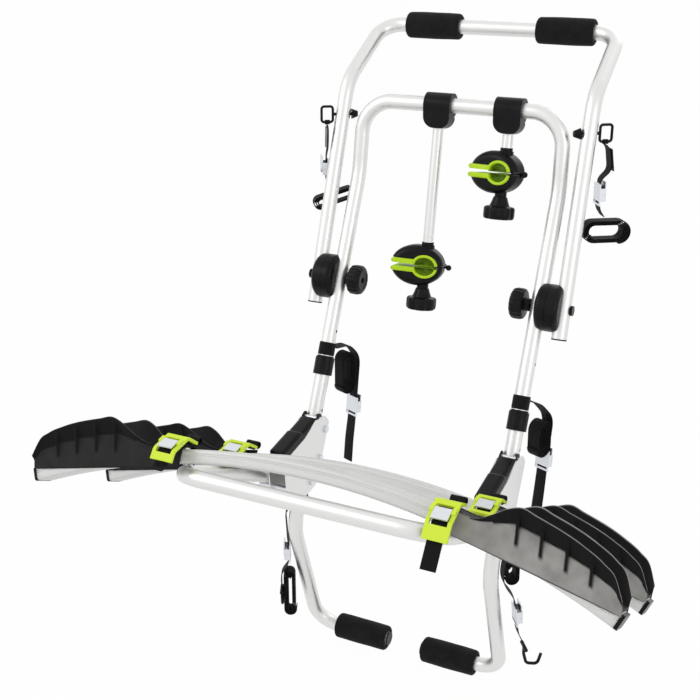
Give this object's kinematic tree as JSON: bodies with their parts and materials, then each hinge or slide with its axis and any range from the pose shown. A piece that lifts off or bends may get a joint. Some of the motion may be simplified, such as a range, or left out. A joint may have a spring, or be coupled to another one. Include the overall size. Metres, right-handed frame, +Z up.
{
  "type": "strap-on tailgate bike carrier",
  "caption": "Tubular rear carrier that straps to a car's tailgate, with a tilting platform of bowed rails and wheel trays, a hinged upper frame with foam pads, and swinging frame-holding arms.",
  "frame": {"origin": "middle of the line through the two lower foam pads, where the carrier rests on the tailgate", "axes": "+X to the right of someone who looks at the car's tail, +Y towards the car, +Z up"},
  "size_m": [1.0206, 0.9084, 1.2186],
  "materials": {
    "satin_aluminium": "satin",
    "zinc_steel": "zinc plated",
    "black_plastic": "moulded",
    "lime_plastic": "soft touch",
    "black_foam": "foam",
    "black_webbing": "woven"
  },
  "bodies": {
    "main_frame": {"main_frame_tube": "satin_aluminium", "lower_legs": "satin_aluminium", "leg_pads": "black_foam", "leg_plugs": "black_plastic", "tube_collars": "black_plastic", "fold_brackets": "zinc_steel", "bracket_bolts": "zinc_steel", "hinge_covers": "black_plastic", "mid_straps": "black_webbing", "lower_straps": "black_webbing", "frame_strap_buckles": "zinc_steel", "frame_strap_hardware": "zinc_steel"},
    "upper_frame": {"upper_frame_tube": "satin_aluminium", "upper_pads": "black_foam", "upper_tube_plugs": "black_plastic", "hinge_hubs": "black_plastic", "upper_straps": "black_webbing", "upper_strap_buckles": "zinc_steel", "upper_strap_hardware": "zinc_steel"},
    "platform": {"platform_hoop": "satin_aluminium", "platform_hubs": "black_plastic", "bike_rails": "satin_aluminium", "rail_end_caps": "black_plastic", "rail_bolts": "zinc_steel", "front_trays": "black_plastic", "rear_trays": "black_plastic", "wheel_buckle_frames": "lime_plastic", "wheel_straps": "black_webbing"},
    "hinge_knob_right": {"hinge_knob_right": "black_plastic"},
    "hinge_knob_left": {"hinge_knob_left": "black_plastic"},
    "fold_lever_right": {"fold_lever_right": "black_plastic"},
    "fold_lever_left": {"fold_lever_left": "black_plastic"},
    "front_wheel_cam_right": {"front_wheel_cam_right": "zinc_steel"},
    "front_wheel_cam_left": {"front_wheel_cam_left": "zinc_steel"},
    "rear_wheel_cam_right": {"rear_wheel_cam_right": "zinc_steel"},
    "rear_wheel_cam_left": {"rear_wheel_cam_left": "zinc_steel"},
    "long_arm": {"long_arm_bracket": "black_plastic", "long_arm_tube": "satin_aluminium"},
    "long_head": {"long_upper_jaw": "black_plastic", "long_upper_liner": "lime_plastic", "long_keeper_strap": "black_plastic"},
    "long_jaw": {"long_lower_jaw": "black_plastic", "long_lower_liner": "lime_plastic"},
    "long_rod": {"long_clamp_rod": "zinc_steel"},
    "long_knob": {"long_clamp_knob": "black_plastic"},
    "short_arm": {"short_arm_bracket": "black_plastic", "short_arm_tube": "satin_aluminium"},
    "short_head": {"short_upper_jaw": "black_plastic", "short_upper_liner": "lime_plastic", "short_keeper_strap": "black_plastic"},
    "short_jaw": {"short_lower_jaw": "black_plastic", "short_lower_liner": "lime_plastic"},
    "short_rod": {"short_clamp_rod": "zinc_steel"},
    "short_knob": {"short_clamp_knob": "black_plastic"},
    "lower_strap_cam_right": {"lower_strap_cam_right": "zinc_steel"},
    "lower_strap_cam_left": {"lower_strap_cam_left": "zinc_steel"},
    "mid_strap_cam_right": {"mid_strap_cam_right": "zinc_steel"},
    "mid_strap_cam_left": {"mid_strap_cam_left": "zinc_steel"},
    "upper_strap_cam_right": {"upper_strap_cam_right": "zinc_steel"},
    "upper_strap_cam_left": {"upper_strap_cam_left": "zinc_steel"}
  },
  "joints": [
    {"name": "upper_fold", "type": "hinge", "parent": "main_frame", "child": "upper_frame", "pos_m": [0, 0.10913, 0.715], "axis": [1, 0, 0], "range_deg": [-140, 40]},
    {"name": "hinge_knob_turn_right", "type": "hinge", "parent": "main_frame", "child": "hinge_knob_right", "pos_m": [0.2, 0.10913, 0.715], "axis": [1, 0, 0], "continuous": true},
    {"name": "hinge_knob_turn_left", "type": "hinge", "parent": "main_frame", "child": "hinge_knob_left", "pos_m": [-0.2, 0.10913, 0.715], "axis": [1, 0, 0], "continuous": true},
    {"name": "platform_fold", "type": "hinge", "parent": "main_frame", "child": "platform", "pos_m": [0, -0.05485, 0.352], "axis": [-1, 0, 0], "range_deg": [0, 65]},
    {"name": "lever_lift_right", "type": "hinge", "parent": "main_frame", "child": "fold_lever_right", "pos_m": [0.2, -0.015, 0.4665], "axis": [-1, 0, 0], "range_deg": [0, 60]},
    {"name": "lever_lift_left", "type": "hinge", "parent": "main_frame", "child": "fold_lever_left", "pos_m": [-0.2, -0.015, 0.4665], "axis": [-1, 0, 0], "range_deg": [0, 60]},
    {"name": "front_wheel_cam_turn_right", "type": "hinge", "parent": "platform", "child": "front_wheel_cam_right", "pos_m": [0.236, -0.43189, 0.57442], "axis": [-1, 0, 0], "range_deg": [0, 55], "stiffness_Nm_per_rad": 0.03, "springref_deg": -34.38},
    {"name": "front_wheel_cam_turn_left", "type": "hinge", "parent": "platform", "child": "front_wheel_cam_left", "pos_m": [-0.236, -0.42706, 0.58268], "axis": [-1, 0, 0], "range_deg": [0, 55], "stiffness_Nm_per_rad": 0.03, "springref_deg": -34.38},
    {"name": "rear_wheel_cam_turn_right", "type": "hinge", "parent": "platform", "child": "rear_wheel_cam_right", "pos_m": [0.236, -0.23725, 0.49283], "axis": [-1, 0, 0], "range_deg": [0, 55], "stiffness_Nm_per_rad": 0.03, "springref_deg": -34.38},
    {"name": "rear_wheel_cam_turn_left", "type": "hinge", "parent": "platform", "child": "rear_wheel_cam_left", "pos_m": [-0.236, -0.23725, 0.49283], "axis": [-1, 0, 0], "range_deg": [0, 55], "stiffness_Nm_per_rad": 0.03, "springref_deg": -34.38},
    {"name": "long_arm_swing", "type": "hinge", "parent": "main_frame", "child": "long_arm", "pos_m": [-0.041, 0.21193, 1.0439], "axis": [1, 0, 0], "range_deg": [-95, 10]},
    {"name": "long_head_swivel", "type": "hinge", "parent": "long_arm", "child": "long_head", "pos_m": [-0.041, 0.21193, 1.0439], "axis": [0, 0.1719, 0.9851], "range_deg": [-90, 90]},
    {"name": "long_jaw_open", "type": "hinge", "parent": "long_head", "child": "long_jaw", "pos_m": [-0.00882, 0.16447, 0.74562], "axis": [0.1392, -0.9755, 0.1703], "range_deg": [0, 35]},
    {"name": "long_rod_slide", "type": "slide", "parent": "long_jaw", "child": "long_rod", "axis": [0, -0.1719, -0.9851], "range_m": [0, 0.008]},
    {"name": "long_knob_turn", "type": "hinge", "parent": "long_rod", "child": "long_knob", "pos_m": [-0.04397, 0.15289, 0.70805], "axis": [0, -0.1719, -0.9851], "range_deg": [0, 960]},
    {"name": "short_arm_swing", "type": "hinge", "parent": "main_frame", "child": "short_arm", "pos_m": [0.096, 0.21193, 1.0439], "axis": [1, 0, 0], "range_deg": [-95, 10]},
    {"name": "short_head_swivel", "type": "hinge", "parent": "short_arm", "child": "short_head", "pos_m": [0.096, 0.21193, 1.0439], "axis": [0, 0.1719, 0.9851], "range_deg": [-90, 90]},
    {"name": "short_jaw_open", "type": "hinge", "parent": "short_head", "child": "short_jaw", "pos_m": [0.12724, 0.18368, 0.93412], "axis": [-0.2756, -0.9469, 0.1653], "range_deg": [0, 35]},
    {"name": "short_rod_slide", "type": "slide", "parent": "short_jaw", "child": "short_rod", "axis": [0, -0.1719, -0.9851], "range_m": [0, 0.008]},
    {"name": "short_knob_turn", "type": "hinge", "parent": "short_rod", "child": "short_knob", "pos_m": [0.09312, 0.18662, 0.89402], "axis": [0, -0.1719, -0.9851], "range_deg": [0, 960]},
    {"name": "lower_strap_cam_turn_right", "type": "hinge", "parent": "main_frame", "child": "lower_strap_cam_right", "pos_m": [0.24234, -0.04167, 0.1676], "axis": [-0.5708, 0.8211, 0], "range_deg": [0, 60], "stiffness_Nm_per_rad": 0.03, "springref_deg": -34.38},
    {"name": "lower_strap_cam_turn_left", "type": "hinge", "parent": "main_frame", "child": "lower_strap_cam_left", "pos_m": [-0.2248, -0.08323, 0.2], "axis": [0.4392, -0.8984, 0], "range_deg": [0, 60], "stiffness_Nm_per_rad": 0.03, "springref_deg": -34.38},
    {"name": "mid_strap_cam_turn_right", "type": "hinge", "parent": "main_frame", "child": "mid_strap_cam_right", "pos_m": [0.23057, 0.10988, 0.41662], "axis": [-0.9233, 0.3841, 0], "range_deg": [0, 60], "stiffness_Nm_per_rad": 0.03, "springref_deg": -34.38},
    {"name": "mid_strap_cam_turn_left", "type": "hinge", "parent": "main_frame", "child": "mid_strap_cam_left", "pos_m": [-0.17212, 0.11786, 0.44642], "axis": [-0.9233, 0.3841, 0], "range_deg": [0, 60], "stiffness_Nm_per_rad": 0.03, "springref_deg": -34.38},
    {"name": "upper_strap_cam_turn_right", "type": "hinge", "parent": "upper_frame", "child": "upper_strap_cam_right", "pos_m": [0.26897, 0.22868, 0.9041], "axis": [-0.5708, 0.8211, 0], "range_deg": [0, 60], "stiffness_Nm_per_rad": 0.03, "springref_deg": -34.38},
    {"name": "upper_strap_cam_turn_left", "type": "hinge", "parent": "upper_frame", "child": "upper_strap_cam_left", "pos_m": [-0.27595, 0.18832, 0.909], "axis": [0.5708, -0.8211, 0], "range_deg": [0, 60], "stiffness_Nm_per_rad": 0.03, "springref_deg": -34.38}
  ],
  "couplings": [
    {"joint": "long_rod_slide", "follows": "long_knob_turn", "m_per_rad": 0.00047746},
    {"joint": "short_rod_slide", "follows": "short_knob_turn", "m_per_rad": 0.00047746}
  ]
}
